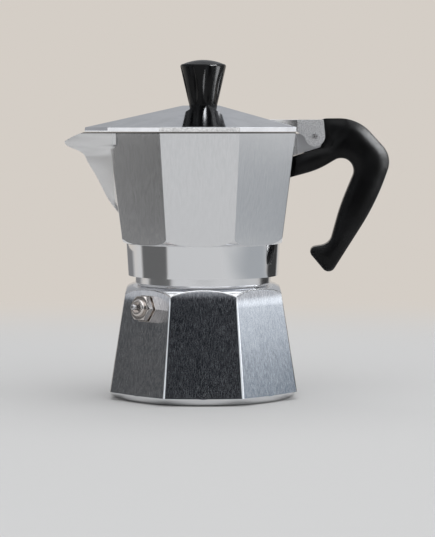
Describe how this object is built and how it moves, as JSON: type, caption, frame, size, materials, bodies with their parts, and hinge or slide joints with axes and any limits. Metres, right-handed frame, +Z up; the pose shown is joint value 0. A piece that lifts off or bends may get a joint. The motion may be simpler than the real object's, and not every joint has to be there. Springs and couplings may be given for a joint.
{
  "type": "moka pot",
  "caption": "Eight-sided cast aluminium stove-top coffee maker with a screwed-on collector, pouring spout, hinged lid and black angled handle.",
  "frame": {"origin": "centre of the flat round face that it rests on", "axes": "+Z up along the screw axis, +X towards the handle, -X towards the spout"},
  "size_m": [0.1547, 0.0898, 0.1601],
  "materials": {
    "cast_boiler": "brushed faces with polished bevels",
    "cast_collector": "satin brushed faces, polished collar",
    "cast_lid": "polished",
    "spun_aluminium": "spun satin",
    "nickel": "nickel-plated brass",
    "steel": "drawn wire",
    "insert_brass": "turned",
    "seal": "matt white",
    "black_moulding": "semi-gloss black moulding"
  },
  "bodies": {
    "base": {"boiler": "cast_boiler", "valve_body": "nickel", "valve_cap": "nickel", "valve_spring": "steel", "funnel_cup": "spun_aluminium", "funnel_sieve": "spun_aluminium", "funnel_stem": "spun_aluminium"},
    "valve_plunger": {"valve_plunger": "nickel"},
    "seal": {"gasket": "seal", "filter_plate": "spun_aluminium"},
    "upper": {"collector": "cast_collector", "handle": "black_moulding", "hinge_pin": "steel"},
    "lid": {"lid": "cast_lid", "knob": "black_moulding", "knob_insert": "insert_brass", "knob_screw": "steel"}
  },
  "joints": [
    {"name": "valve_lift", "type": "slide", "parent": "base", "child": "valve_plunger", "axis": [-0.6712, -0.7249, 0.1551], "range_m": [0, 0.0015], "stiffness_N_per_m": 800, "springref_m": -0.002, "deforming": ["valve_spring"]},
    {"name": "upper_lift", "type": "slide", "parent": "base", "child": "seal", "axis": [0, 0, 1], "range_m": [0, 0.0053]},
    {"name": "upper_turn", "type": "hinge", "parent": "seal", "child": "upper", "pos_m": [0, 0, 0.066], "axis": [0, 0, 1], "range_deg": [0, 540]},
    {"name": "lid_hinge", "type": "hinge", "parent": "upper", "child": "lid", "pos_m": [0.05307, 0, 0.1239], "axis": [0, 1, 0], "range_deg": [0, 93]}
  ],
  "couplings": [
    {"joint": "upper_lift", "follows": "upper_turn", "m_per_rad": 0.000557}
  ]
}
